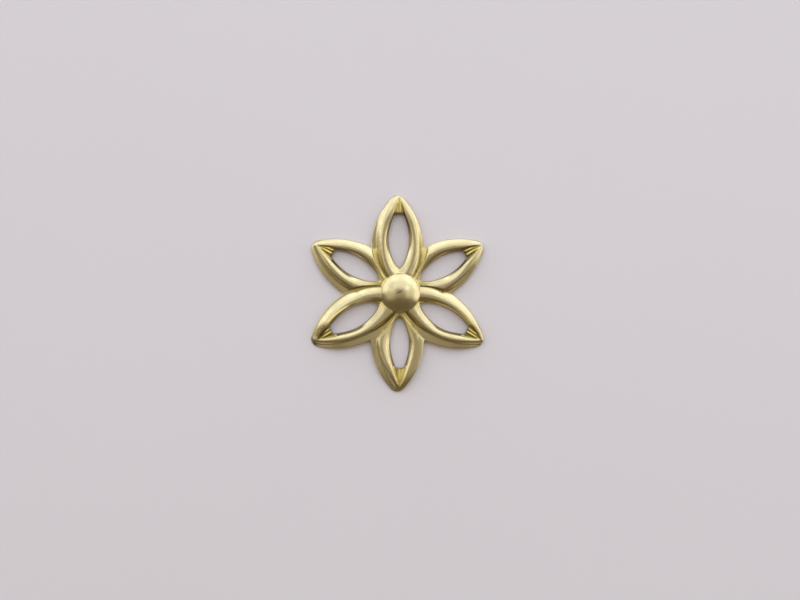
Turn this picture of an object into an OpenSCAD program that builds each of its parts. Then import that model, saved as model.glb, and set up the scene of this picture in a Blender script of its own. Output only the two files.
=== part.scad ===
// A six petalled flower finding: one piece of brass sheet, struck in a die and
// trimmed, so it is hollow at the back. Each petal is an open loop of a rounded
// limb, and a domed boss covers the inner ends of the limbs. Sizes are in
// millimetres. The back lies on z = 0, the face is up and one petal points along +Y.

/* [Outline] */
// Number of petals
petals = 6; // [5:1:7]
// Distance from the centre of the trimmed outline to each petal tip
tip_r = 15; // [14.9:0.1:15.2]
// Distance from the centre at which the trimmed petal is widest
outline_widest_at = 6.4; // [6:0.1:6.8]
// Half the width of the trimmed petal there
outline_half_w = 4.1; // [4:0.05:4.3]
// Radius of the two arcs that bound the trimmed petal
outline_arc_r = 12.2; // [12:0.1:12.5]
// How far the struck relief sits to the right of the centre of the trimmed outline
strike_off_x = 0.32; // [0:0.02:0.36]
// How far the struck relief sits above the centre of the trimmed outline
strike_off_y = 0.2; // [0:0.02:0.24]

/* [Limbs] */
// Thickness of the brass sheet
sheet_t = 0.45; // [0.4:0.01:0.48]
// Height of the limb crest above the back
crest_z = 1.2; // [1.16:0.01:1.26]
// Distance from the centre at which the two crest lines of a petal lie furthest apart
crest_widest_at = 8.26; // [8.2:0.02:8.34]
// Half the distance between the two crest lines there
crest_half_w = 2.34; // [2.3:0.02:2.38]
// Radius of each crest line in plan
crest_arc_r = 9.58; // [9.5:0.02:9.66]
// Radius of the limb section on its outer side
limb_outer_r = 0.88; // [0.86:0.01:0.92]
// Radius of the limb section on the side of the opening
limb_inner_r = 1; // [0.98:0.01:1.04]
// Half the width of the hollow under each limb
channel_r = 0.42; // [0.36:0.01:0.44]

/* [Openings] */
// Distance from the centre at which the opening is widest
opening_widest_at = 8.5; // [8.4:0.05:8.6]
// Half the width of the opening there
opening_half_w = 1.46; // [1.42:0.01:1.5]
// Radius of the two arcs that bound the opening
opening_arc_r = 9.4; // [9.2:0.1:9.6]
// Distance from the centre to the straight outer end of the opening
opening_end_r = 11.73; // [11.6:0.01:11.9]

/* [Tip web] */
// Height of the web at the opening
web_low_z = 0.85; // [0.8:0.01:0.9]
// Height of the web at the petal tip
web_high_z = 1.15; // [1.1:0.01:1.15]
// Radius of the two ribs on the web
rib_r = 0.22; // [0.2:0.01:0.26]
// Half the distance between the ribs at the opening
rib_half_gap = 0.29; // [0.26:0.01:0.32]
// Half the distance between the ribs at the petal tip
rib_half_gap_tip = 0.1; // [0.06:0.01:0.14]

/* [Boss] */
// Radius of the boss
boss_r = 3; // [2.9:0.05:3.1]
// Height of the top of the boss above the back
boss_z = 2.45; // [2.3:0.05:2.6]
// Radius of the sphere that forms the boss
boss_sphere_r = 4.3; // [4.1:0.05:4.5]

/* [Hidden] */
$fn = 96;
// How far a cutting shape runs past the metal
cut = 1;
// Half the angle of one petal's sector
wedge_a = 180 / petals;
far_r = tip_r + 4 * cut;

// Distance from the petal's centre line to the centres of its arcs
outline_drop = outline_arc_r - outline_half_w;
crest_drop = crest_arc_r - crest_half_w;
opening_drop = opening_arc_r - opening_half_w;

// The round petal tip meets both outline arcs without a corner
tip_along = tip_r - outline_widest_at;
tip_round_r = (outline_arc_r ^ 2 - outline_drop ^ 2 - tip_along ^ 2)
    / (2 * (outline_arc_r - tip_along));
tip_round_at = tip_r - tip_round_r;
tip_round_meets_at = outline_widest_at
    + outline_arc_r * (tip_round_at - outline_widest_at) / (outline_arc_r - tip_round_r);

// The crest lines of a petal cross at this angle of their arcs, and at this distance
crest_end_a = acos(crest_drop / crest_arc_r);
crest_tip_r = crest_widest_at + crest_arc_r * sin(crest_end_a);
crest_overrun_a = 5;

// The hollow under the limbs stops this far short of where the crest lines cross
hollow_tip_gap = 0.54;
hollow_tip_r = crest_tip_r - hollow_tip_gap;
channel_end_a = asin((hollow_tip_r - crest_widest_at) / crest_arc_r);
channel_z = crest_z - sheet_t - channel_r;

// Each struck tip turns down along an arc of this radius. The arc starts this far
// short of where the crest lines cross, and this far above the crests.
turn_r = 3;
turn_l = 1.33;
turn_rise = 0.2;
turn_at = crest_tip_r - turn_l;
turn_top_z = crest_z + turn_rise;

// The web slopes up to the tip, and its ribs close in on each other
web_l = crest_tip_r - opening_end_r;
web_slope_a = atan((web_high_z - web_low_z) / web_l);
rib_toe_a = atan((rib_half_gap - rib_half_gap_tip) / web_l);

// The lens shape between two arcs, long way along Y
module lens(widest_at, drop, arc_r) {
    intersection() {
        translate([-drop, widest_at]) circle(arc_r);
        translate([drop, widest_at]) circle(arc_r);
    }
}

// Everything nearer than a distance, measured along the petal
module nearer_than(along) {
    translate([-far_r / 2, 0]) square([far_r, along]);
}

// One trimmed petal in plan, with its round tip
module petal_plan() {
    intersection() {
        lens(outline_widest_at, outline_drop, outline_arc_r);
        nearer_than(tip_round_meets_at);
    }
    translate([0, tip_round_at]) circle(tip_round_r);
}

module outline_plan() {
    for (i = [0 : petals - 1]) rotate(i * 2 * wedge_a) petal_plan();
    circle(boss_r);
}

// Half of one petal's sector in plan, from its centre line to the next petal's sector
module half_sector() {
    polygon([[0, 0], [0, far_r], [far_r * tan(wedge_a), far_r]]);
}

// Section of a limb: an arc on each side of the crest, cut off flat at the back
module limb_section() {
    side = 2 * crest_z;
    intersection() {
        translate([0, crest_z - limb_inner_r]) circle(limb_inner_r);
        translate([-side, 0]) square(side);
    }
    intersection() {
        translate([0, crest_z - limb_outer_r]) circle(limb_outer_r);
        square(side);
    }
}

// Section of the hollow under a limb: a round roof on straight sides
module channel_section() {
    translate([0, channel_z]) circle(channel_r);
    translate([-channel_r, -cut]) square([2 * channel_r, channel_z + cut]);
}

// Carries a section along the crest line on the right of a petal
module along_crest(from_a, to_a) {
    translate([-crest_drop, crest_widest_at])
        rotate(from_a)
            rotate_extrude(angle = to_a - from_a)
                translate([crest_arc_r, 0]) children();
}

module limb() {
    along_crest(-crest_end_a - crest_overrun_a, crest_end_a + crest_overrun_a) limb_section();
}

module limb_channel() {
    along_crest(-crest_end_a, channel_end_a) channel_section();
}

// A slab on the right of the petal whose roof slopes up as the web does
module web_slab(roof_low_z, roof_high_z, floor_low_z, floor_high_z) {
    rotate([90, 0, 90])
        linear_extrude(2 * limb_inner_r)
            polygon([
                [opening_end_r, floor_low_z],
                [crest_tip_r, floor_high_z],
                [crest_tip_r, roof_high_z],
                [opening_end_r, roof_low_z]
            ]);
}

// A rib that lies along the right half of the web, half sunk in it
module rib() {
    translate([rib_half_gap, opening_end_r, web_low_z])
        rotate([web_slope_a - 90, 0, rib_toe_a])
            cylinder(r = rib_r, h = web_l);
}

// The sloping web that closes the petal's tip, between the crest lines
module tip_web() {
    intersection() {
        linear_extrude(crest_z) lens(crest_widest_at, crest_drop, crest_arc_r);
        union() {
            web_slab(web_low_z, web_high_z, 0, 0);
            rib();
        }
    }
}

// The hollow under the web, one sheet thickness below its face
module web_hollow() {
    intersection() {
        translate([0, 0, -cut])
            linear_extrude(crest_z + cut)
                intersection() {
                    lens(crest_widest_at, crest_drop, crest_arc_r);
                    nearer_than(hollow_tip_r);
                }
        translate([-cut, 0, 0])
            web_slab(web_low_z - sheet_t, web_high_z - sheet_t, -cut, -cut);
    }
}

module opening() {
    translate([0, 0, -cut])
        linear_extrude(crest_z + 2 * cut)
            intersection() {
                lens(opening_widest_at, opening_drop, opening_arc_r);
                nearer_than(opening_end_r);
            }
}

// Limits the struck height, so that each tip turns down
module tip_turn() {
    rotate_extrude() {
        square([turn_at, turn_top_z]);
        intersection() {
            translate([turn_at, turn_top_z - turn_r]) circle(turn_r);
            translate([turn_at, 0]) square(turn_r);
        }
    }
}

// Right half of one petal with its share of the flat flange
module half_petal() {
    intersection() {
        linear_extrude(turn_top_z) half_sector();
        tip_turn();
        difference() {
            union() {
                linear_extrude(sheet_t) half_sector();
                limb();
                tip_web();
            }
            opening();
            limb_channel();
            web_hollow();
        }
    }
}

module boss() {
    intersection() {
        translate([0, 0, boss_z - boss_sphere_r]) sphere(boss_sphere_r);
        cylinder(r = boss_r, h = boss_z);
    }
}

// The hollow under the boss, one sheet thickness inside it
module boss_hollow() {
    intersection() {
        translate([0, 0, boss_z - boss_sphere_r]) sphere(boss_sphere_r - sheet_t);
        translate([0, 0, -cut]) cylinder(r = boss_r - sheet_t, h = boss_z + cut);
    }
}

// All the struck relief, centred on the boss
module relief() {
    difference() {
        union() {
            for (i = [0 : petals - 1])
                rotate(i * 2 * wedge_a) {
                    half_petal();
                    mirror([1, 0, 0]) half_petal();
                }
            boss();
        }
        boss_hollow();
    }
}

module flower_stamping() {
    color([0.78, 0.7, 0.45])
        intersection() {
            translate([0, 0, -cut]) linear_extrude(boss_z + 2 * cut) outline_plan();
            translate([strike_off_x, strike_off_y, 0]) relief();
        }
}

flower_stamping();
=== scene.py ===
import bpy
import numpy as np
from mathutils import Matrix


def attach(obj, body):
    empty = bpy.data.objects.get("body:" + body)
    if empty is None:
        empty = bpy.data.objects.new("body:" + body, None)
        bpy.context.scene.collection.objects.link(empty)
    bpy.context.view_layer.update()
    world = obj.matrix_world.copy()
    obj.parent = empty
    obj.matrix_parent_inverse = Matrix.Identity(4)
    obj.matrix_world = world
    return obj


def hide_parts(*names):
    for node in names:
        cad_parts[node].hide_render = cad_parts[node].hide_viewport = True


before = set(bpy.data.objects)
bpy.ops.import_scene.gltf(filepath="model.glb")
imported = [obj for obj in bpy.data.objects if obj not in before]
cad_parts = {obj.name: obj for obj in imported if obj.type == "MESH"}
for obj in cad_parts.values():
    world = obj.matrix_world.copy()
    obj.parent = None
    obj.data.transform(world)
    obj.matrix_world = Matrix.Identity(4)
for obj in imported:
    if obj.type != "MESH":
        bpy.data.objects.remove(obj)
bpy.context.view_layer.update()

mm = 0.001
hair = 0.01  # a hair's breadth in millimetres, to keep clear of an exact edge

# A six petalled flower struck from thin brass sheet. Sizes are in millimetres, heights above its back.
# Petal 0 points up, the others follow clockwise, and petals 0, 2 and 4 lie over their neighbours.
flower = {
    "petals": 6,
    "sheet": 0.45,  # thickness of the brass
    "tipReach": 15.0,  # centre of the trimmed outline to a petal tip
    "outlineWidestAt": 6.4,  # a petal's outline is two arcs and a round tip
    "outlineHalfWidth": 4.1,
    "outlineArc": 12.2,
    "reliefRight": 0.32,  # how far the relief was struck off the outline's centre
    "reliefUp": 0.2,
    "crestWidestAt": 8.26,  # its two limbs' crests are arcs too
    "crestHalfWidth": 2.34,
    "crestArc": 9.58,
    "limbTurn": 0.76,  # share of a limb's round part in its section
    "innerFall": 5,  # slope inside a limb's inner foot
    "blend": 0.06,  # how softly the struck shapes run into each other
    "tipTurnAt": 11.0,  # from here to the tips the relief gets lower along an arc
    "tipTurnArc": 11.0,
    "tipTurnTop": 1.3,  # a place this high comes down by the arc's own fall, a lower one by less

    # the sheet beside the limbs
    "floor": 0.30,  # its height away from the boss
    "floorRise": 0.47,  # it rises by this much to the boss, from reach on
    "floorReach": 8.0,
    "floorPower": 2.6,  # of the share of the way out, so that the rise is steepest outside
    "bossFillet": 0.13,  # and by this much more in the last stretch
    "filletReach": 1.3,
    "flangeFall": 0.11,  # slope from a limb's foot to the outline
    "bankSlope": 2.2,  # a lower petal's limb ends in a bank beside an upper petal
    "bankBlend": 0.04,

    # the openings and their cut edges; with six values, one for each petal
    "openingTip": 3.55,  # inner tip
    "openingTipLength": 1.3,  # the edge leaves the tip's place over this length
    "openingRound": 0.5,  # how softly the corners are rounded
    "openingEnds": (11.93, 11.58, 11.78, 11.55, 11.86, 11.73),  # straight outer end
    "lipRound": 0.16,  # the sheet rolls over into the opening across this width
    "lipDrop": 0.22,
    "rimRound": 0.09,  # the outline is rubbed round by this much
    "lipDark": 1.4,  # width of the lip's dark band, the cut edge's own brown with painted shade over it, as a multiple of lipRound
    "lipCore": 0.35,  # share of that width where it is darkest
    "lipFaint": 0.5,  # how dark it is away from the outer end
    "lipAtEnd": (2.2, 1.2, 0.3, 0.3, 0.3, 1.4),  # how much wider it is at the outer end, where it paints the shade under the end
    "lipEndFade": (4.2, 1.2),  # it gets wider and darker between these distances from the end

    # the sloping web at each tip with its two ribs; with six values, one for each petal
    "webLow": 0.72,
    "webHigh": 0.96,
    "webStart": (0.6, 0.2),  # it eases in between these distances inside the opening's end
    "ribRadius": 0.22,
    "ribRise": 0.15,
    "ribBlend": 0.03,
    "ribGap": (0.17, 0.33, 0.27, 0.33, 0.27, 0.30),  # half the distance between the ribs
    "ribGapTip": 0.12,
    "ribsRight": (-0.10, -0.10, -0.20, -0.30, 0.22, 0.20),  # how far the ribs lie off the petal's middle

    # the domed boss in the middle
    "bossRadius": 3.0,
    "bossTop": 2.45,
    "bossSphere": 4.3,
    "bossRight": 0.17,  # how far it sits off the centre of the relief
    "bossUp": -0.08,
    "bossRimRound": 0.1,

    # the hollows of the back
    "hollowHalfWidth": 0.42,
    "hollowTop": 0.75,
    "hollowEnd": 13.99,  # they stop just before the crests come together
    "thinnest": 0.22,  # brass left over them at low places
}

# The limbs: petal 0's anticlockwise one first, then its clockwise one, and so on. Each value is given at
# the boss, halfway, near the tip and where two crests cross. Places are distances across the crest's arc,
# away from the opening. Inner, crest and outer shape the section, edge is the opening's edge, top and foot
# are heights, and bank is the place where a lower neighbour's limb begins.
limbAt = (-5.2, 0.0, 3.8, 6.84)
limbs = [
    {"inner": (-0.78, -0.76, -1.15, -0.35), "crest": (0.60, 0.08, -0.20, 0.0),
     "outer": (1.28, 1.22, 1.16, 0.70), "edge": (-0.76, -0.68, -0.78, -0.6),
     "top": (1.30, 1.18, 1.16, 1.2), "foot": (0.30, 0.42, 0.52, 0.5), "bank": (1.70, 1.90, 1.9, 1.9)},
    {"inner": (-0.95, -0.98, -1.20, -0.35), "crest": (0.75, -0.04, -0.33, 0.0),
     "outer": (1.50, 1.12, 1.04, 0.70), "edge": (-0.79, -0.88, -0.94, -0.8),
     "top": (1.34, 1.18, 1.16, 1.2), "foot": (0.30, 0.40, 0.52, 0.5), "bank": (1.78, 1.98, 2.0, 2.0)},
    {"inner": (-0.75, -0.90, -1.10, -0.35), "crest": (0.25, 0.03, -0.36, 0.0),
     "outer": (1.35, 1.38, 1.00, 0.62), "edge": (-0.62, -0.80, -1.02, -0.9),
     "top": (0.90, 1.15, 1.16, 1.2), "foot": (0.57, 0.57, 0.55, 0.5)},
    {"inner": (-0.90, -1.10, -1.20, -0.35), "crest": (1.15, 0.37, -0.22, 0.0),
     "outer": (1.90, 1.12, 0.76, 0.62), "edge": (-0.76, -0.95, -1.08, -0.9),
     "top": (0.95, 1.14, 1.15, 1.2), "foot": (0.57, 0.57, 0.55, 0.5)},
    {"inner": (-0.55, -0.80, -0.85, -0.35), "crest": (0.32, -0.17, -0.28, 0.0),
     "outer": (1.75, 1.22, 0.85, 0.62), "edge": (-0.68, -0.82, -0.90, -0.9),
     "top": (1.28, 1.18, 1.16, 1.2), "foot": (0.57, 0.57, 0.55, 0.5), "bank": (1.75, 1.45, 1.5, 1.5)},
    {"inner": (-0.95, -0.90, -1.12, -0.35), "crest": (0.60, 0.26, -0.02, 0.0),
     "outer": (1.45, 0.76, 0.52, 0.62), "edge": (-0.84, -0.78, -1.02, -0.9),
     "top": (1.28, 1.18, 1.16, 1.2), "foot": (0.60, 0.88, 0.82, 0.5), "bank": (2.00, 1.90, 1.9, 1.9)},
    {"inner": (-0.80, -0.95, -1.05, -0.35), "crest": (0.20, 0.10, -0.12, 0.0),
     "outer": (1.60, 2.20, 1.80, 0.8), "edge": (-0.76, -0.90, -1.04, -0.9),
     "top": (0.90, 0.98, 1.04, 1.2), "foot": (0.57, 0.62, 0.60, 0.5)},
    {"inner": (-0.80, -1.05, -1.15, -0.35), "crest": (0.50, 0.40, -0.22, 0.0),
     "outer": (1.30, 1.25, 0.62, 0.62), "edge": (-0.72, -0.94, -1.10, -0.95),
     "top": (0.90, 1.12, 1.15, 1.2), "foot": (0.57, 0.57, 0.60, 0.5)},
    {"inner": (-0.90, -1.02, -1.15, -0.35), "crest": (1.15, 0.15, -0.08, 0.0),
     "outer": (1.75, 0.66, 0.46, 0.62), "edge": (-0.80, -0.93, -1.08, -0.9),
     "top": (1.28, 1.18, 1.16, 1.2), "foot": (0.60, 0.88, 0.82, 0.5), "bank": (2.10, 2.00, 2.0, 2.0)},
    {"inner": (-0.62, -0.85, -1.02, -0.35), "crest": (0.25, -0.26, -0.46, 0.0),
     "outer": (1.70, 1.26, 0.95, 0.62), "edge": (-0.62, -0.68, -0.80, -0.8),
     "top": (1.28, 1.18, 1.16, 1.2), "foot": (0.57, 0.57, 0.55, 0.5), "bank": (1.85, 1.80, 1.8, 1.8)},
    {"inner": (-0.85, -1.05, -1.15, -0.35), "crest": (1.00, 0.18, -0.10, 0.0),
     "outer": (1.80, 1.10, 0.82, 0.62), "edge": (-0.76, -0.95, -1.06, -0.9),
     "top": (0.95, 1.14, 1.15, 1.2), "foot": (0.57, 0.57, 0.55, 0.5)},
    {"inner": (-0.75, -0.90, -1.00, -0.35), "crest": (0.25, -0.04, -0.36, 0.0),
     "outer": (1.35, 1.25, 0.95, 0.62), "edge": (-0.66, -0.84, -0.92, -0.8),
     "top": (0.90, 1.15, 1.16, 1.2), "foot": (0.57, 0.57, 0.55, 0.5)},
]

# marks that run along a limb, raised or sunk
marks = [
    # petal, side, place across, from, to, width, height, how golden its painted reflection is
    (0, 1, 0.70, -5.4, -2.0, 0.13, -0.06, 0),
    (2, -1, -0.42, -4.9, -0.2, 0.10, 0.06, 0.7),
    (2, -1, -0.50, 0.0, 4.6, 0.14, 0.07, 1),
    (4, 1, -0.30, -5.0, -1.2, 0.08, 0.07, 0.3),
    (4, 1, -0.34, -0.8, 3.9, 0.14, 0.07, 1),
    (3, -1, 0.46, -3.0, -0.6, 0.08, 0.05, 0),
    (3, 1, 0.60, -2.6, 1.0, 0.10, 0.04, 0),
]
markFade = 0.6  # length over which a mark's ends fade

# How finely the surface is laid out, in cells. A column is a place across a limb, as a share.
mesh = {
    "middle": 30,  # across, between the lip and the rubbed rim
    "lipColumns": (0, 0.03, 0.1, 0.25, 0.5, 0.8, 1.1),  # of lipRound
    "rimColumns": (0, 0.25, 0.6, 1.1),  # of rimRound
    "valley": 40,  # boss to the notch between two petals
    "turn": 14,  # the first of those turn round the inner tip of the opening
    "axisCells": 4,
    "notchCells": 4,  # the rim gets round over these, from the notch on
    "outline": 38,  # from the notch on
    "fan": 32,  # round the outer end of the opening and the tip
    "fanFrom": 0.33,  # swing about the crest's centre where the fan begins, in radians
    "domeRings": 18,
    "domeRim": (1, 0.995, 0.985, 0.972),  # rings at the boss's rim, of its radius
    "domeFrom": 0.95,
    "backStep": 3,  # the back keeps every third column
    "wallRows": 2,
    "edgeSamples": 2001,
    "outlineSamples": 1201,
    "windowStep": 0.01,
    "weld": 0.0002,  # points this near each other become one
}

turnStep = 2 * np.pi / flower["petals"]
outlineDrop = flower["outlineArc"] - flower["outlineHalfWidth"]
crestDrop = flower["crestArc"] - flower["crestHalfWidth"]
crestEnd = np.arccos(crestDrop / flower["crestArc"])
crestTip = flower["crestWidestAt"] + flower["crestArc"] * np.sin(crestEnd)
relief = np.array([flower["reliefRight"], flower["reliefUp"]])
bossCentre = relief + np.array([flower["bossRight"], flower["bossUp"]])

# the round tip of the outline meets both side arcs without a corner
tipAlong = flower["tipReach"] - flower["outlineWidestAt"]
tipSquares = flower["outlineArc"] ** 2 - outlineDrop ** 2 - tipAlong ** 2
tipRound = tipSquares / (2 * (flower["outlineArc"] - tipAlong))
tipRoundAt = flower["tipReach"] - tipRound
tipShare = (tipRoundAt - flower["outlineWidestAt"]) / (flower["outlineArc"] - tipRound)
tipRoundMeets = flower["outlineWidestAt"] + flower["outlineArc"] * tipShare


# the larger of two heights with the corner softened: half the sum plus half a hyperbola over the difference
def softMax(a, b, softness):
    return 0.5 * (a + b + np.sqrt((a - b) ** 2 + softness ** 2))


# the smaller of two heights with the corner softened: half the sum less half that hyperbola
def softMin(a, b, softness):
    return 0.5 * (a + b - np.sqrt((a - b) ** 2 + softness ** 2))


# 0 below the first value, 1 above the second, and 3s^2 - 2s^3 between them
def easeStep(low, high, value):
    s = np.clip((value - low) / (high - low), 0, 1)
    return s * s * (3 - 2 * s)


# a smooth curve through a limb's values at limbAt: between two of them a cubic whose end slopes
# are the mean slopes there
def alongLimb(s, values):
    at = np.array(limbAt)
    values = np.array(values)
    slopes = np.gradient(values, at)
    s = np.clip(s, at[0], at[-1])
    i = np.clip(np.searchsorted(at, s, side="right") - 1, 0, len(at) - 2)
    span = at[i + 1] - at[i]
    u = (s - at[i]) / span
    start = (2 * u ** 3 - 3 * u ** 2 + 1) * values[i] + (u ** 3 - 2 * u ** 2 + u) * span * slopes[i]
    end = (3 * u ** 2 - 2 * u ** 3) * values[i + 1] + (u ** 3 - u ** 2) * span * slopes[i + 1]
    return start + end


# distance along a ray to where it leaves a circle: -b + sqrt(b^2 - c)
def rayExit(fromT, fromR, dirT, dirR, centreT, centreR, radius):
    offT = fromT - centreT
    offR = fromR - centreR
    b = offT * dirT + offR * dirR
    c = offT ** 2 + offR ** 2 - radius ** 2
    return -b + np.sqrt(np.maximum(b * b - c, 0))


# length run along a line up to each of its points: the running sum of the steps
def lineRun(t, r):
    return np.concatenate([[0], np.cumsum(np.hypot(np.diff(t), np.diff(r)))])


# distance of a place from the centre of the relief
def reliefAway(x, y):
    return np.hypot(x - relief[0], y - relief[1])


# distance of a place from the centre of the boss
def bossAway(x, y):
    return np.hypot(x - bossCentre[0], y - bossCentre[1])


# plan coordinates to a petal's own: t across, to its clockwise side, and r along it
def toPetal(x, y, petal, centre):
    a = petal * turnStep
    dx = x - centre[0]
    dy = y - centre[1]
    return dx * np.cos(a) - dy * np.sin(a), dx * np.sin(a) + dy * np.cos(a)


# a petal's own coordinates, about the centre of the relief, back to the plan
def toPlan(t, r, petal):
    a = petal * turnStep
    return np.stack([
        relief[0] + t * np.cos(a) + r * np.sin(a),
        relief[1] - t * np.sin(a) + r * np.cos(a)], axis=-1)


# turn about the centre of a crest's arc, from its widest place towards the tip
def crestSwing(t, r):
    return np.arctan2(r - flower["crestWidestAt"], t + crestDrop)


# half the distance between a petal's two crests at r along it: a chord of their arcs less crestDrop
def crestHalf(r):
    return np.sqrt(np.maximum(flower["crestArc"] ** 2 - (r - flower["crestWidestAt"]) ** 2, 0)) - crestDrop


# plan coordinates to a limb's own: s along its crest's arc from the widest place, n across it
def toLimb(x, y, petal, side):
    t, r = toPetal(x, y, petal, relief)
    off = np.hypot(side * t + crestDrop, r - flower["crestWidestAt"])
    return flower["crestArc"] * crestSwing(side * t, r), off - flower["crestArc"]


# a limb's row in the table; side is -1 for the anticlockwise one and 1 for the clockwise one
def limbRow(petal, side):
    return limbs[2 * (petal % flower["petals"]) + (side > 0)]


# the trimmed outline as a polar curve about the centre of the relief: for each petal the ray leaves
# the nearer of its two arcs, or the round tip past them, and the farthest petal wins
def outlineReach(angle):
    reach = np.zeros_like(angle)
    for petal in range(flower["petals"]):
        t0, r0 = toPetal(relief[0], relief[1], petal, (0, 0))
        dirT = np.sin(angle - petal * turnStep)
        dirR = np.cos(angle - petal * turnStep)
        left = rayExit(t0, r0, dirT, dirR, outlineDrop, flower["outlineWidestAt"], flower["outlineArc"])
        right = rayExit(t0, r0, dirT, dirR, -outlineDrop, flower["outlineWidestAt"], flower["outlineArc"])
        tip = rayExit(t0, r0, dirT, dirR, 0, tipRoundAt, tipRound)
        sides = np.minimum(left, right)
        petalReach = np.where(r0 + sides * dirR > tipRoundMeets, tip, sides)
        reach = np.maximum(reach, petalReach)
    return reach


# where the outlines of two neighbouring petals meet: the root of the circle's equation on their bisector
def notchPoint(valley):
    a = (valley + 0.5) * turnStep
    half = 0.5 * turnStep
    b = outlineDrop * np.sin(half) - flower["outlineWidestAt"] * np.cos(half)
    c = outlineDrop ** 2 + flower["outlineWidestAt"] ** 2 - flower["outlineArc"] ** 2
    r = -b + np.sqrt(b * b - c)
    return np.array([r * np.sin(a), r * np.cos(a)])


# line between two petals from the boss to their notch: straight out, eased over from the boss
# and towards the notch
def valleyLine(valley):
    a = (valley + 0.5) * turnStep
    out = np.array([np.sin(a), np.cos(a)])
    notch = notchPoint(valley) - relief
    far = notch @ out
    s = np.linspace(flower["bossRadius"], far, mesh["valley"] + 1)[:, None]
    turnTo = s[mesh["turn"], 0]
    bend = easeStep(flower["bossRadius"], far, s) * (notch - far * out)
    start = (1 - easeStep(flower["bossRadius"], turnTo, s)) * (bossCentre - relief)
    return relief + s * out + bend + start


# a line's points averaged over a window that slides along it, so that its corners come out round;
# the line is first continued by its own mirror image past the petal's middle, at both ends
def roundCorners(t, r, window):
    t = np.concatenate([-t[::-1], t[1:], -t[::-1][1:]])
    r = np.concatenate([r[::-1], r[1:], r[::-1][1:]])
    count = (len(t) + 2) // 3
    run = lineRun(t, r)
    even = np.arange(0, run[-1], mesh["windowStep"])
    t = np.interp(even, run, t)
    r = np.interp(even, run, r)
    half = int(window / mesh["windowStep"])
    weight = 1 + np.cos(np.linspace(-np.pi, np.pi, 2 * half + 1))
    weight /= weight.sum()
    t = np.convolve(t, weight, "same")
    r = np.convolve(r, weight, "same")
    keep = (even >= run[count - 1]) & (even <= run[2 * count - 2])
    t = t[keep]
    r = r[keep]
    t[0] = 0
    t[-1] = 0
    return t, r


# one side of an opening's edge: along its crest arc at the limb's own distances, from the petal's middle
# out to the straight end and along it to the middle again
def openingSide(petal, side):
    startSwing = crestSwing(0, flower["openingTip"])
    startOff = np.hypot(flower["openingTip"] - flower["crestWidestAt"], crestDrop) - flower["crestArc"]
    swing = np.linspace(startSwing, crestEnd, mesh["edgeSamples"])
    s = swing * flower["crestArc"]
    share = easeStep(s[0], s[0] + flower["openingTipLength"], s)
    off = startOff * (1 - share) + alongLimb(s, limbRow(petal, side)["edge"]) * share
    t = -crestDrop + (flower["crestArc"] + off) * np.cos(swing)
    r = flower["crestWidestAt"] + (flower["crestArc"] + off) * np.sin(swing)
    end = flower["openingEnds"][petal]
    inside = r < end
    t = np.append(t[inside], 0)
    r = np.append(r[inside], end)
    t[0] = 0
    return roundCorners(t, r, flower["openingRound"])


# half of an opening's edge, its two ends moved to where both halves meet: the mean of the two sides' ends
def openingEdge(petal, side):
    t, r = openingSide(petal, side)
    _, other = openingSide(petal, -side)
    r[0] = 0.5 * (r[0] + other[0])
    r[-1] = 0.5 * (r[-1] + other[-1])
    return t, r


# the outer side of a half petal: the valley line, then the outline from the notch to the tip at even
# swings, those of the fan closer together
def outerLine(petal, side, valleyPlan):
    valleyT, valleyR = toPetal(valleyPlan[:, 0], valleyPlan[:, 1], petal, relief)
    notchOff = valleyPlan[-1] - relief
    petalAngle = petal * turnStep
    notchTurn = np.arctan2(notchOff[0], notchOff[1]) - petalAngle
    notchAngle = petalAngle + (notchTurn + np.pi) % (2 * np.pi) - np.pi
    angle = np.linspace(notchAngle, petalAngle, mesh["outlineSamples"])
    reach = outlineReach(angle)
    t, r = toPetal(relief[0] + reach * np.sin(angle), relief[1] + reach * np.cos(angle), petal, relief)
    t = side * t
    t[-1] = 0
    swing = crestSwing(t, r)
    along = np.concatenate([
        np.linspace(swing[0], mesh["fanFrom"], mesh["outline"] + 1)[1:],
        np.linspace(mesh["fanFrom"], swing[-1], mesh["fan"] + 1)[1:]])
    outerT = np.concatenate([side * valleyT, np.interp(along, swing, t)])
    outerR = np.concatenate([valleyR, np.interp(along, swing, r)])
    return outerT, outerR


# shares of the way across from the opening to the outer side, closer together at the cut edges
def crossShares(width):
    lip = np.array(mesh["lipColumns"]) * flower["lipRound"]
    rim = np.array(mesh["rimColumns"]) * flower["rimRound"]
    middle = np.linspace(0, 1, mesh["middle"] + 1)[None, 1:-1]
    rows = np.concatenate([
        np.broadcast_to(lip, (len(width), len(lip))),
        lip[-1] + middle * (width - lip[-1] - rim[-1]),
        width - rim[::-1]], axis=1)
    return rows / width


# a grid's coordinate blended from its four edges: the blends between opposite edges added, less the
# blend of the four corners
def blendEdges(left, right, bottom, top, across, up):
    fromBottom = (1 - across) * bottom[0] + across * bottom[-1]
    fromTop = (1 - across) * top[0] + across * top[-1]
    corners = (1 - up) * fromBottom + up * fromTop
    sides = (1 - across) * left[:, None] + across * right[:, None]
    return sides + (1 - up) * bottom + up * top - corners


# an edge that rolls over: it drops by a quarter ellipse over the last stretch before the edge
def rollOver(distance, width, drop):
    s = np.clip(1 - distance / width, 0, 1)
    return drop * (1 - np.sqrt(1 - s ** 2))
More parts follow.
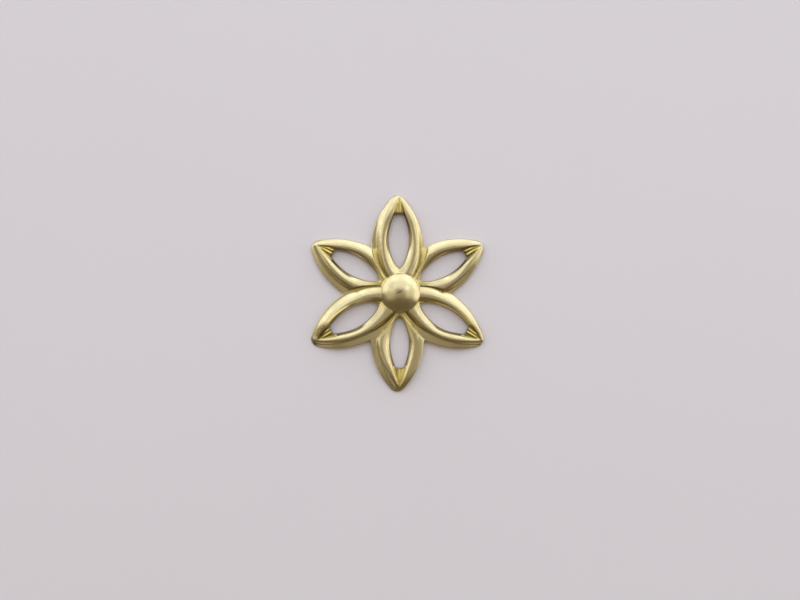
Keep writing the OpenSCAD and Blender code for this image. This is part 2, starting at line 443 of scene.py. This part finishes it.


# how far the face drops at its cut edges, and how dark the lip of the opening is painted, partly for the
# cut edge's own colour and partly as painted shade: by the distance from its edge, over a width that grows
# towards the outer end
def edgeShares(t, r, petal):
    fromInner = np.hypot(t - t[:, :1], r - r[:, :1])
    fromOuter = np.hypot(t - t[:, -1:], r - r[:, -1:])
    station = np.arange(len(t))[:, None]
    onEdge = station >= mesh["axisCells"]
    onOutline = np.clip((station - mesh["valley"]) / mesh["notchCells"], 0, 1)
    drop = rollOver(fromInner, flower["lipRound"], flower["lipDrop"]) * onEdge
    drop = drop + rollOver(fromOuter, flower["rimRound"], flower["rimRound"]) * onOutline
    end = flower["openingEnds"][petal]
    atEnd = easeStep(end - flower["lipEndFade"][0], end - flower["lipEndFade"][1], r)
    reach = flower["lipRound"] * (flower["lipDark"] + flower["lipAtEnd"][petal] * atEnd)
    strength = flower["lipFaint"] + (1 - flower["lipFaint"]) * atEnd
    return drop, (1 - easeStep(flower["lipCore"] * reach, reach, fromInner)) * onEdge * strength


# lays a half petal out in plan: lines from the opening's edge, which is first, to the valley line or
# the outline, at the same swings and then evenly round the opening's outer end. Round the inner tip of
# the opening the grid is blended from its four edges.
def halfPetalPlan(petal, side):
    valleyPlan = valleyLine(petal if side > 0 else petal - 1)
    outerT, outerR = outerLine(petal, side, valleyPlan)
    edgeT, edgeR = openingEdge(petal, side)
    edgeRun = lineRun(edgeT, edgeR)
    run = np.interp(crestSwing(outerT, outerR), crestSwing(edgeT, edgeR), edgeRun)
    fanAt = mesh["valley"] + mesh["outline"]
    run[fanAt:] = np.linspace(run[fanAt], edgeRun[-1], mesh["fan"] + 1)
    innerT = np.interp(run, edgeRun, edgeT)
    innerR = np.interp(run, edgeRun, edgeR)
    share = crossShares(np.hypot(outerT - innerT, outerR - innerR)[:, None])
    t = innerT[:, None] * (1 - share) + outerT[:, None] * share
    r = innerR[:, None] * (1 - share) + outerR[:, None] * share

    # the turn: the boss's rim below, the petal's middle and the opening's tip on the left
    turn = mesh["turn"]
    bossT, bossR = toPetal(bossCentre[0], bossCentre[1], petal, relief)
    low = share[0] * 0.5 * turnStep
    lowT = side * bossT + flower["bossRadius"] * np.sin(low)
    lowR = bossR + flower["bossRadius"] * np.cos(low)
    turnRun = np.linspace(0, run[turn], turn - mesh["axisCells"] + 1)
    arcT = np.interp(turnRun, edgeRun, edgeT)
    arcR = np.interp(turnRun, edgeRun, edgeR)
    leftT = np.concatenate([np.linspace(lowT[0], 0, mesh["axisCells"] + 1)[:-1], arcT])
    leftR = np.concatenate([np.linspace(lowR[0], arcR[0], mesh["axisCells"] + 1)[:-1], arcR])
    up = np.linspace(0, 1, turn + 1)[:, None]
    across = share[0][None, :] * (1 - up) + share[turn][None, :] * up
    for grid, left, right, bottom in ((t, leftT, outerT, lowT), (r, leftR, outerR, lowR)):
        grid[:turn + 1] = blendEdges(left, right[:turn + 1], bottom, grid[turn].copy(), across, up)

    plan = toPlan(side * t, r, petal)
    plan[:mesh["valley"] + 1, -1] = valleyPlan
    drop, lip = edgeShares(t, r, petal)
    return plan, drop, lip


# a limb's section by the share u of the way from crest to foot: a circle, sqrt(1 - v^2) with
# v = u / turnOff, up to v = turnOff, and from there its tangent, which reaches zero at u = 1
def limbSection(u):
    turnOff = flower["limbTurn"]
    v = u / turnOff
    circle = np.sqrt(np.maximum(1 - v ** 2, 0))
    tangent = (1 - turnOff * v) / np.sqrt(1 - turnOff ** 2)
    return np.where(v < turnOff, circle, np.maximum(tangent, 0))


# height of the sheet between the limbs: a rise towards the boss that is steepest outside, by the share
# of the way out to a power, and round the boss a fillet that falls off as a parabola
def baseHeight(x, y):
    away = reliefAway(x, y)
    share = np.clip((away - flower["bossRadius"]) / (flower["floorReach"] - flower["bossRadius"]), 0, 1)
    fillet = np.clip((away - flower["bossRadius"]) / flower["filletReach"], 0, 1)
    rise = flower["floorRise"] * (1 - share ** flower["floorPower"])
    return flower["floor"] + rise + flower["bossFillet"] * (1 - fillet) ** 2


# height of one limb and of the flange that slopes away from its outer foot: foot + section * rise.
# Past the place where the crests cross, the section runs round that place.
def limbHeight(x, y, petal, side):
    row = limbRow(petal, side)
    s, across = toLimb(x, y, petal, side)
    t, r = toPetal(x, y, petal, relief)
    crest = alongLimb(s, row["crest"])
    beyond = s > flower["crestArc"] * crestEnd
    n = np.where(beyond, np.hypot(t, r - crestTip), across - crest)
    towards = n < 0
    width = np.where(towards, crest - alongLimb(s, row["inner"]), alongLimb(s, row["outer"]) - crest)
    u = np.abs(n) / width
    base = baseHeight(x, y)
    foot = np.where(towards, base, np.maximum(base, alongLimb(s, row["foot"])))
    limb = foot + (alongLimb(s, row["top"]) - foot) * limbSection(u)
    past = np.maximum(u - 1, 0) * width
    limb = limb - np.where(towards, flower["innerFall"], flower["flangeFall"]) * past
    return np.where(s < -flower["crestArc"] * crestEnd, -1, limb)  # no limb behind the petal's root


# height of the bank that an upper petal leaves its lower neighbour: it starts from the flange
# at the limb's bank line and rises away from it
def bankHeight(x, y, petal, side):
    row = limbRow(petal, side)
    s, across = toLimb(x, y, petal % flower["petals"], side)
    return baseHeight(x, y) + flower["bankSlope"] * (across - alongLimb(s, row["bank"]))


# how near a place is to the middle of a mark: a bell curve across it that fades at both ends
def markShare(x, y, petal, side, place, start, stop, wide):
    s, across = toLimb(x, y, petal, side)
    t, _ = toPetal(x, y, petal, relief)
    ends = easeStep(start, start + markFade, s) * (1 - easeStep(stop - markFade, stop, s)) * (side * t > 0)
    return ends * np.exp(-((across - place) / wide) ** 2)


# height of all the limbs, the highest of them softened; those of the lower petals end at the banks
def limbsHeight(x, y):
    height = np.where(reliefAway(x, y) < flower["floorReach"], baseHeight(x, y), flower["floor"])
    for petal in range(flower["petals"]):
        for side in (-1, 1):
            limb = limbHeight(x, y, petal, side)
            if petal % 2 == 1:
                limb = softMin(limb, bankHeight(x, y, petal + side, -side), flower["bankBlend"])
            height = softMax(height, limb, 0.5 * flower["blend"])
    for petal, side, place, start, stop, wide, high, _ in marks:
        height = height + high * markShare(x, y, petal, side, place, start, stop, wide)
    return height


# how far up a web a place is, from 0 at the opening's end to 1 where the crests cross, and how far it is
# from the middle of the nearer rib
def webPlace(t, r, petal):
    end = flower["openingEnds"][petal]
    up = np.clip((r - end) / (crestTip - end), -0.2, 1)
    gap = flower["ribGap"][petal] * (1 - up) + flower["ribGapTip"] * up
    offRib = np.abs(np.abs(t - flower["ribsRight"][petal] * (1 - up)) - gap)
    return up, offRib


# height of the plain web: straight from low to high
def webHeight(up):
    return flower["webLow"] + (flower["webHigh"] - flower["webLow"]) * up


# height of the ledges inside the limbs, and of the sloping webs at the tips with two ribs that close in
# on each other: a rib is the top of a circle, mostly sunk in the web
def floorHeight(x, y):
    height = np.full(x.shape, flower["floor"])
    for petal in range(flower["petals"]):
        t, r = toPetal(x, y, petal, relief)
        within = (np.abs(t) < crestHalf(r)) & (r > 0)
        height = np.where(within, baseHeight(x, y), height)
        up, offRib = webPlace(t, r, petal)
        plain = webHeight(up)
        sunk = flower["ribRadius"] - flower["ribRise"]
        rib = plain - sunk + np.sqrt(np.maximum(flower["ribRadius"] ** 2 - offRib ** 2, 0))
        ribbed = softMax(plain, rib, flower["ribBlend"])
        end = flower["openingEnds"][petal]
        share = easeStep(end - flower["webStart"][0], end - flower["webStart"][1], r) * within
        height = height * (1 - share) + ribbed * share
    return height


# height of a sphere whose top is the boss's, or of a smaller one about the same centre: sqrt(R^2 - off^2)
def bossSphere(off, radius):
    return flower["bossTop"] - flower["bossSphere"] + np.sqrt(np.maximum(radius ** 2 - off ** 2, 0))


# height of the face: floor and limbs, turned down at the tips, with the boss cap on top
def faceHeight(x, y):
    height = softMax(limbsHeight(x, y), floorHeight(x, y), flower["blend"])
    past = np.maximum(reliefAway(x, y) - flower["tipTurnAt"], 0)
    fall = flower["tipTurnArc"] - np.sqrt(flower["tipTurnArc"] ** 2 - past ** 2)
    height = height * (1 - fall / flower["tipTurnTop"])
    off = bossAway(x, y)
    rim = np.clip((off - flower["bossRadius"] + flower["bossRimRound"]) / flower["bossRimRound"], 0, 1)
    cap = bossSphere(off, flower["bossSphere"]) - flower["bossRimRound"] * (1 - np.sqrt(1 - rim ** 2))
    return np.where(off < flower["bossRadius"] - mesh["weld"] / 2, np.maximum(cap, height), height)


# height of the back: round hollows under the limbs, which are ellipses across, flat ones under the webs,
# a bowl under the boss, and zero elsewhere
def backHeight(x, y, face):
    height = np.zeros(x.shape)
    for petal in range(flower["petals"]):
        t, r = toPetal(x, y, petal, relief)
        for side in (1, -1):
            _, n = toLimb(x, y, petal, side)
            roof = flower["hollowTop"] * np.sqrt(np.maximum(1 - (n / flower["hollowHalfWidth"]) ** 2, 0))
            under = (r < flower["hollowEnd"]) & (side * t > 0)
            height = np.where(under, np.maximum(height, roof), height)
        up, _ = webPlace(t, r, petal)
        under = (r > flower["openingEnds"][petal] - hair) & (r < flower["hollowEnd"])
        under &= np.abs(t) < crestHalf(r)
        height = np.where(under, np.maximum(height, webHeight(up) - flower["sheet"]), height)
    height = np.clip(np.minimum(height, face - flower["thinnest"]), 0, None)
    off = bossAway(x, y)
    bowl = bossSphere(off, flower["bossSphere"] - flower["sheet"])
    height = np.where(off < flower["bossRadius"], 0, height)
    return np.where(off < flower["bossRadius"] - flower["sheet"], bowl, height)


# where the brass gets painted reflection, painted shade or brown patches; pairs of values are the bounds of
# an easeStep
paintAndGrain = {
    "webGoldAcross": (0.45, 0.75),  # of the way from a web's middle to the crests
    "webGoldStart": 0.25,  # inside the opening's end
    "webGoldStop": (0.9, 0.2),  # before the place where the crests cross
    "groundGold": 0.7,
    "groundGoldAbove": (0.02, 0.22),  # heights above the sheet between the limbs
    "groundGoldAway": (7.0, 8.5),
    "markGoldWidth": 1.4,  # of the mark's width
    "grooveShade": (0.45, 0.85, 0.75, 0.5, 0.8, 0.35),  # painted shade in the grooves beside the ribs, petal by petal
    "grooveFrom": (0.35, 1.0),  # of the rib's radius
    # painted shade along the feet of the upper limbs by the boss
    "footShadeWidth": 0.15,
    "footShadeAway": (6.4, 8.0),
    "bossClear": 0.02,
    "brownPatchEdge": (0.45, 1.35),  # of a brown patch's half size
    "bossFrom": 1.4,  # the boss's grain begins at this height
    "grainBoss": (3.0, 1.5),  # repeats per millimetre across and along
    "grainLimb": (5.0, 0.7),
    "grainDrift": 0.15,
}

# brown patches at the lower petals' tips
brownPatches = [
    # middle x, middle y, half length, half width, direction of its length in degrees from +X, strength
    (-11.75, -5.75, 1.50, 0.74, 55, 0.95),
    (-12.86, -7.32, 1.00, 0.30, -60, 0.8),
    (12.00, -5.64, 1.25, 0.40, -55, 0.45),
]


# 1 on a web itself and 0 on the limbs beside it: by the share of the way from its middle to the crests,
# eased at both ends along the petal
def webShare(x, y, petal):
    t, r = toPetal(x, y, petal, relief)
    across = np.abs(t) / np.maximum(crestHalf(r), hair)
    end = flower["openingEnds"][petal]
    stop = easeStep(crestTip - paintAndGrain["webGoldStop"][0], crestTip - paintAndGrain["webGoldStop"][1], r)
    along = easeStep(end - paintAndGrain["webGoldStart"], end, r) * (1 - stop)
    return (1 - easeStep(*paintAndGrain["webGoldAcross"], across)) * along


# how golden a place between raised ones is painted, as painted reflection of the brass around it: on the
# webs, and less in the valleys and on the ledges
def paintedReflectionShare(x, y, face):
    above = easeStep(*paintAndGrain["groundGoldAbove"], face - baseHeight(x, y))
    share = paintAndGrain["groundGold"] * (1 - above) * (1 - easeStep(*paintAndGrain["groundGoldAway"], reliefAway(x, y)))
    for petal in range(flower["petals"]):
        share = np.maximum(share, webShare(x, y, petal))
    for petal, side, place, start, stop, wide, _, gold in marks:
        wide = paintAndGrain["markGoldWidth"] * wide
        share = np.maximum(share, gold * markShare(x, y, petal, side, place, start, stop, wide))
    return share


# painted shade: how dark a place is painted in the grooves beside the ribs, and by the boss along the feet
# of the upper limbs, as a bell curve across the foot
def creaseShadeShare(x, y):
    share = np.zeros(x.shape)
    nearBoss = 1 - easeStep(*paintAndGrain["footShadeAway"], reliefAway(x, y))
    offBoss = bossAway(x, y) > flower["bossRadius"] + paintAndGrain["bossClear"]
    for petal in range(flower["petals"]):
        t, r = toPetal(x, y, petal, relief)
        _, offRib = webPlace(t, r, petal)
        groove = easeStep(*paintAndGrain["grooveFrom"], offRib / flower["ribRadius"])
        share = np.maximum(share, paintAndGrain["grooveShade"][petal] * groove * webShare(x, y, petal))
        if petal % 2 == 0:
            for side in (-1, 1):
                s, across = toLimb(x, y, petal, side)
                off = (across - alongLimb(s, limbRow(petal, side)["outer"])) / paintAndGrain["footShadeWidth"]
                foot = np.exp(-off ** 2) * (side * t > 0) * (r > 0) * nearBoss * offBoss
                share = np.maximum(share, foot)
    return share


# how brown a place is: full inside each patch's ellipse, easing to nothing past its edge
def brownPatchShare(x, y):
    share = np.zeros(x.shape)
    for middleX, middleY, long, wide, turn, amount in brownPatches:
        a = np.radians(turn)
        along = ((x - middleX) * np.cos(a) + (y - middleY) * np.sin(a)) / long
        across = ((y - middleY) * np.cos(a) - (x - middleX) * np.sin(a)) / wide
        patch = 1 - easeStep(*paintAndGrain["brownPatchEdge"], np.hypot(along, across))
        share = np.maximum(share, amount * patch)
    return share


# coordinates for the grain of the metal: across and along the nearest limb, or plain ones on the boss
def grainPlace(x, y, face):
    petal = np.round(np.arctan2(x - relief[0], y - relief[1]) / turnStep)
    t, r = toPetal(x, y, petal, relief)
    n = np.hypot(np.abs(t) + crestDrop, r - flower["crestWidestAt"])
    s = flower["crestArc"] * crestSwing(np.abs(t), r)
    onBoss = face > paintAndGrain["bossFrom"]
    return np.stack([
        np.where(onBoss, paintAndGrain["grainBoss"][0] * x, paintAndGrain["grainLimb"][0] * n),
        np.where(onBoss, paintAndGrain["grainBoss"][1] * y, paintAndGrain["grainLimb"][1] * s),
        paintAndGrain["grainDrift"] * reliefAway(x, y)], axis=-1)


# faces of a grid of vertices, row by row: each joins a vertex, the next one and the two in the next row,
# and is turned the way asked
def gridFaces(rows, columns, start, flip):
    i, j = np.meshgrid(np.arange(rows - 1), np.arange(columns - 1), indexing="ij")
    a = start + i * columns + j
    quads = np.stack([a, a + 1, a + columns + 1, a + columns], axis=-1).reshape(-1, 4)
    return quads[:, ::-1] if flip else quads


# the columns that the back keeps of the face's grid: every backStep-th one, and the last
def backColumns(count):
    return np.unique(np.append(np.arange(0, count, mesh["backStep"]), count - 1))


# the boss over or under its rim: the rim shrunk towards the boss's centre, ring by ring, down to a pole
def bossGrid(ring):
    rim = np.concatenate(ring + [ring[0][:1]])
    s = np.concatenate([mesh["domeRim"], np.linspace(mesh["domeFrom"], 0, mesh["domeRings"])])
    disc = bossCentre + s[:, None, None] * (rim - bossCentre)
    return disc[..., 0], disc[..., 1]


# the grids of half a petal: face, back, and the walls of the opening and of the outline
def halfPetalSheets(side, plan, drop, lip):
    x = plan[..., 0]
    y = plan[..., 1]
    face = faceHeight(x, y)
    back = backHeight(x, y, face)
    face = face - drop
    columns = backColumns(x.shape[1])
    sheets = [
        (np.dstack([x, y, face, lip, 0 * x]), side < 0),
        (np.dstack([x, y, back, lip, 0 * x + 1])[:, columns], side > 0)]
    for edge, begin in ((0, mesh["axisCells"]), (-1, mesh["valley"])):
        s = np.linspace(0, 1, mesh["wallRows"] + 1)[:, None]
        z = face[begin:, edge] * (1 - s) + back[begin:, edge] * s
        values = (x[begin:, edge], y[begin:, edge], z, lip[begin:, edge], s)
        wall = np.dstack([np.broadcast_to(value, z.shape) for value in values])
        sheets.append((wall, (side > 0) != (edge == 0)))
    return sheets


# all the grids of the surface, each with the way its faces turn. A point is x, y, height, how dark its lip
# is painted (the cut edge and painted shade), and how far down from the face to the back it lies.
def flowerSheets():
    sheets = []
    ring = []
    backRing = []
    for petal in range(flower["petals"]):
        for side in (-1, 1):
            plan, drop, lip = halfPetalPlan(petal, side)
            sheets += halfPetalSheets(side, plan, drop, lip)
            ring.append(plan[0][::side][:-1])
            backRing.append(plan[0][backColumns(len(plan[0]))][::side][:-1])
    x, y = bossGrid(ring)
    sheets.append((np.dstack([x, y, faceHeight(x, y), 0 * x, 0 * x]), True))
    x, y = bossGrid(backRing)
    sheets.append((np.dstack([x, y, backHeight(x, y, faceHeight(x, y)), 0 * x, 0 * x + 1]), False))
    return sheets


# one closed mesh from the grids: points that lie together become one, and a four sided face that loses
# a corner by this becomes a triangle
def weldSheets(sheets):
    starts = np.cumsum([0] + [grid[..., 0].size for grid, _ in sheets])
    points = np.concatenate([grid.reshape(-1, 5) for grid, _ in sheets])
    quads = np.concatenate([
        gridFaces(grid.shape[0], grid.shape[1], start, flip)
        for (grid, flip), start in zip(sheets, starts)])
    key = np.round(points[:, :3] / mesh["weld"]).astype(np.int64)
    _, first, same = np.unique(key, axis=0, return_index=True, return_inverse=True)
    quads = same.reshape(-1)[quads]
    double = quads == np.roll(quads, -1, axis=1)
    lost = double.sum(axis=1)
    triangles = quads[lost == 1][~double[lost == 1]].reshape(-1, 3)
    return points[first], quads[lost == 0].tolist() + triangles.tolist()


# a mesh object with the shares of painted reflection, painted shade, brown patches and lip shade
# and the grain's coordinates as attributes
def buildMesh(name, points, faces):
    data = bpy.data.meshes.new(name)
    data.from_pydata((points[:, :3] * mm).tolist(), [], faces)
    x = points[:, 0]
    y = points[:, 1]
    face = faceHeight(x, y)
    up = 1 - points[:, 4]
    shares = {
        "paintedReflection": up * paintedReflectionShare(x, y, face),
        "creaseShade": up * creaseShadeShare(x, y),
        "brownPatches": up * brownPatchShare(x, y),
        "lip": points[:, 3],
    }
    for title, values in shares.items():
        data.attributes.new(title, "FLOAT", "POINT").data.foreach_set("value", values.astype(np.float32))
    grain = data.attributes.new("grain", "FLOAT_VECTOR", "POINT")
    grain.data.foreach_set("vector", grainPlace(x, y, face).astype(np.float32).ravel())
    data.validate()
    data.shade_smooth()
    piece = bpy.data.objects.new(name, data)
    bpy.context.scene.collection.objects.link(piece)
    return piece


points, faces = weldSheets(flowerSheets())
petals = buildMesh("brass_flower", points, faces)
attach(petals, "root")
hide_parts("flower_stamping")
print("flower:", len(petals.data.vertices), "vertices,", len(petals.data.polygons), "faces")

# Raw brass, satin from handling. Sizes of the patterns are repeats per millimetre, depths millimetres.
brass = {
    "colour": (0.63, 0.526, 0.270),
    "dull": (0.555, 0.45, 0.210),
    # painted reflection: the deeper gold of light bouncing between raised brass faces
    "reflectedGold": (0.69, 0.535, 0.145),
    # painted shade in the grooves and creases
    "creaseShadeColour": (0.17, 0.13, 0.05),
    "brownPatchColour": (0.15, 0.095, 0.03),
    "lipShadeColour": (0.25, 0.18, 0.085),  # the cut edge inside the openings, its own darker brass with painted shade
    "scuffColour": (0.09, 0.07, 0.045),
    "roughness": (0.25, 0.37),
    "mottleSize": 0.9,
    "pitSize": 5.0,
    "mottleStrength": 1.4,  # how much the mottle and the streaks dull the brass, less what stays bright
    "streakStrength": 0.9,
    "bright": 0.75,
    "creaseShadeBase": 0.4,  # painted shade and brown patches where there are no pits
    "brownPatchBase": 0.5,
    "grainDepth": 0.0015,
    "pitDepth": 0.0004,
    "scuffAt": (0.33, 0.24, flower["bossTop"]),  # a small dark scuff on top of the boss
    "scuffSize": (0.62, 0.16, 0.3),
    "scuffTurn": -0.45,  # radians
    "scuffEdge": 1.25,
    "scuffGaps": 0.32,
    "scuffContrast": 6.0,
    "scuffRough": 0.2,
}


class Nodes:
    # adds nodes to a material's tree and joins them
    def __init__(self, name):
        self.material = bpy.data.materials.new(name)
        self.material.use_nodes = True
        self.tree = self.material.node_tree
        self.shader = self.tree.nodes["Principled BSDF"]

    # a node with its inputs and settings
    def add(self, kind, links=(), **settings):
        node = self.tree.nodes.new(kind)
        for key, value in settings.items():
            setattr(node, key, value)
        for socket, source in dict(links).items():
            self.link(source, node.inputs[socket])
        return node

    # a socket joined to another node's output, or set to a value
    def link(self, source, socket):
        if hasattr(source, "is_output"):
            self.tree.links.new(source, socket)
        else:
            socket.default_value = source

    # a op b, held between 0 and 1 where clamp is true
    def math(self, operation, a, b=0.0, clamp=False):
        return self.add("ShaderNodeMath", {0: a, 1: b}, operation=operation, use_clamp=clamp).outputs[0]

    # the same for vectors, part by part
    def vector(self, operation, a, b=(0, 0, 0), output="Vector"):
        return self.add("ShaderNodeVectorMath", {0: a, 1: b}, operation=operation).outputs[output]

    # colour a where share is 0 and b where it is 1
    def mix(self, share, a, b):
        node = self.add("ShaderNodeMix", data_type="RGBA")
        self.link(share, node.inputs["Factor"])
        self.link(a if hasattr(a, "is_output") else a + (1,), node.inputs[6])
        self.link(b if hasattr(b, "is_output") else b + (1,), node.inputs[7])
        return node.outputs[2]

    # smooth random values, scale of them to each unit of place
    def noise(self, place, scale, detail=2.0):
        return self.add("ShaderNodeTexNoise", {
            "Vector": place, "Scale": scale, "Detail": detail, "Roughness": 0.5}).outputs["Fac"]

    # the mesh's own attribute
    def attribute(self, title, output="Fac"):
        return self.add("ShaderNodeAttribute", attribute_name=title).outputs[output]


# the scuff: scuffEdge less the distance from its middle in its own sizes, broken up by the pits
def scuffShare(nodes, place, pits):
    moved = nodes.vector("SUBTRACT", place, tuple(at * mm for at in brass["scuffAt"]))
    turned = nodes.add("ShaderNodeVectorRotate", {"Vector": moved, "Angle": brass["scuffTurn"]},
        rotation_type="Z_AXIS").outputs[0]
    scaled = nodes.vector("MULTIPLY", turned, tuple(1 / (size * mm) for size in brass["scuffSize"]))
    distance = nodes.vector("LENGTH", scaled, output="Value")
    near = nodes.math("SUBTRACT", brass["scuffEdge"], distance, True)
    gaps = nodes.math("SUBTRACT", pits, brass["scuffGaps"], True)
    return nodes.math("MULTIPLY", near, nodes.math("MULTIPLY", gaps, brass["scuffContrast"], True), True)


# the brass: its colour, roughness and bump from the patterns and from the mesh's attributes
def makeBrass():
    nodes = Nodes("raw brass")
    place = nodes.add("ShaderNodeTexCoord").outputs["Object"]
    mottle = nodes.noise(place, brass["mottleSize"] / mm, 3.0)
    pits = nodes.noise(place, brass["pitSize"] / mm, 2.0)
    streaks = nodes.noise(nodes.attribute("grain", "Vector"), 1.0, 3.0)
    scuff = scuffShare(nodes, place, pits)

    # colour: duller in patches and streaks, golden with painted reflection in the recesses, brown in the
    # tip patches, dark with painted shade in grooves and creases, dark at the openings' lips (cut edge and
    # painted shade) and at the scuff
    patches = nodes.math("ADD",
        nodes.math("MULTIPLY", mottle, brass["mottleStrength"]),
        nodes.math("MULTIPLY", streaks, brass["streakStrength"]))
    patches = nodes.math("SUBTRACT", patches, brass["bright"], True)
    browned = nodes.math("ADD", pits, brass["brownPatchBase"])
    browned = nodes.math("MULTIPLY", nodes.attribute("brownPatches"), browned, True)
    shaded = nodes.math("ADD", pits, brass["creaseShadeBase"])
    shaded = nodes.math("MULTIPLY", nodes.attribute("creaseShade"), shaded, True)
    colour = nodes.mix(patches, brass["colour"], brass["dull"])
    colour = nodes.mix(nodes.attribute("paintedReflection"), colour, brass["reflectedGold"])
    colour = nodes.mix(browned, colour, brass["brownPatchColour"])
    colour = nodes.mix(shaded, colour, brass["creaseShadeColour"])
    colour = nodes.mix(nodes.attribute("lip"), colour, brass["lipShadeColour"])
    colour = nodes.mix(scuff, colour, brass["scuffColour"])
    nodes.link(colour, nodes.shader.inputs["Base Color"])

    # roughness: from the smoother to the rougher value with the patches, and rougher at the scuff
    low, high = brass["roughness"]
    rough = nodes.math("ADD", low, nodes.math("MULTIPLY", patches, high - low))
    rough = nodes.math("ADD", rough, nodes.math("MULTIPLY", scuff, brass["scuffRough"]))
    nodes.link(rough, nodes.shader.inputs["Roughness"])
    nodes.shader.inputs["Metallic"].default_value = 1

    # fine drawing streaks along the limbs and shallow pits
    height = nodes.math("ADD",
        nodes.math("MULTIPLY", streaks, brass["grainDepth"]),
        nodes.math("MULTIPLY", pits, brass["pitDepth"]))
    bump = nodes.add("ShaderNodeBump", {"Height": height, "Strength": 1.0, "Distance": mm})
    nodes.link(bump.outputs[0], nodes.shader.inputs["Normal"])
    return nodes.material


petals.data.materials.append(makeBrass())
print("brass material done")

# pale paper under the flower, very slightly uneven; sizes are in metres, patterns in repeats per metre
paper = {
    "size": 2.4,
    "below": 0.00002,
    "colour": (0.732, 0.664, 0.616),
    "shade": (0.704, 0.637, 0.594),
    "cloudSize": 18,
    "cloudShare": 0.7,
    "fibreSize": 900,
    "fibreShare": 0.3,
    "fibreDepth": 0.00003,
    "fibreStrength": 0.3,
    "roughness": 0.9,
}


# the paper: its colour and bump from clouds and fibres
def makePaper():
    nodes = Nodes("pale paper")
    place = nodes.add("ShaderNodeTexCoord").outputs["Object"]
    clouds = nodes.noise(place, paper["cloudSize"], 2.0)
    fibres = nodes.noise(place, paper["fibreSize"], 3.0)
    share = nodes.math("ADD",
        nodes.math("MULTIPLY", clouds, paper["cloudShare"]),
        nodes.math("MULTIPLY", fibres, paper["fibreShare"]), True)
    nodes.link(nodes.mix(share, paper["colour"], paper["shade"]), nodes.shader.inputs["Base Color"])
    nodes.shader.inputs["Roughness"].default_value = paper["roughness"]
    bump = nodes.add("ShaderNodeBump", {
        "Height": fibres, "Strength": paper["fibreStrength"], "Distance": paper["fibreDepth"]})
    nodes.link(bump.outputs[0], nodes.shader.inputs["Normal"])
    return nodes.material


bpy.ops.mesh.primitive_plane_add(size=paper["size"], location=(0, 0, -paper["below"]))
floor = bpy.context.object
floor.name = "paper"
floor.data.materials.append(makePaper())
print("paper done")

# Soft light from panels a metre away. Azimuth 0 is +Y and 90 is +X, zenith 0 is straight above.
coolLight = (1.0, 1.12, 1.42)
mildLight = (1.0, 1.05, 1.18)
plainLight = (1.0, 0.98, 0.95)
lights = [
    # name, azimuth, zenith, width, height, radiance, colour
    ("window", 0, 74, 0.84, 0.6, 1.62, coolLight),
    ("window right", 46, 74, 0.84, 0.6, 1.66, coolLight),
    ("window left", -55, 74, 1.25, 0.6, 1.56, coolLight),
    ("window top", 8, 38, 1.40, 0.75, 1.18, coolLight),
    ("window top left", -60, 42, 0.55, 0.65, 0.55, coolLight),
    ("right wall", 92, 76, 0.80, 0.6, 1.60, mildLight),
    ("right wall top", 84, 40, 0.80, 0.72, 0.80, mildLight),
    ("left wall", -92, 44, 0.80, 0.75, 0.62, plainLight),
    ("ceiling", 180, 5, 0.70, 0.50, 0.28, plainLight),
]
room = {"colour": (1.0, 0.82, 0.58), "strength": 0.185}


# a rectangular panel that faces the flower; its power is radiance times pi times its area
def makeLight(name, azimuth, zenith, width, height, radiance, colour):
    a = np.radians(azimuth)
    z = np.radians(zenith)
    data = bpy.data.lights.new(name, "AREA")
    data.shape = "RECTANGLE"
    data.size = width
    data.size_y = height
    data.energy = radiance * np.pi * width * height
    data.color = colour
    light = bpy.data.objects.new(name, data)
    light.location = (np.sin(z) * np.sin(a), np.sin(z) * np.cos(a), np.cos(z))
    light.rotation_euler = (z, 0, np.pi - a)
    light.visible_camera = False
    bpy.context.scene.collection.objects.link(light)


for row in lights:
    makeLight(*row)
world = bpy.data.worlds.new("room")
bpy.context.scene.world = world
world.use_nodes = True
world.node_tree.nodes["Background"].inputs["Color"].default_value = room["colour"] + (1,)
world.node_tree.nodes["Background"].inputs["Strength"].default_value = room["strength"]
print("lights done")

# the camera looks straight down, with the flower's centre at this pixel of the image
camera = {
    "distance": 0.36,
    "millimetresPerPixel": 0.153,
    "imageWidth": 800,
    "imageHeight": 600,
    "flowerX": 397.35,
    "flowerY": 293.65,
    "sensor": 36.0,
}
pixel = camera["millimetresPerPixel"] * mm
eyeData = bpy.data.cameras.new("camera")
eyeData.sensor_width = camera["sensor"]
eyeData.lens = camera["sensor"] * camera["distance"] / (camera["imageWidth"] * pixel)
eye = bpy.data.objects.new("camera", eyeData)
eye.location = (
    (camera["imageWidth"] / 2 - camera["flowerX"]) * pixel,
    (camera["flowerY"] - camera["imageHeight"] / 2) * pixel,
    camera["distance"])
bpy.context.scene.collection.objects.link(eye)
bpy.context.scene.camera = eye
bpy.context.scene.view_settings.view_transform = "Standard"
print("camera done")
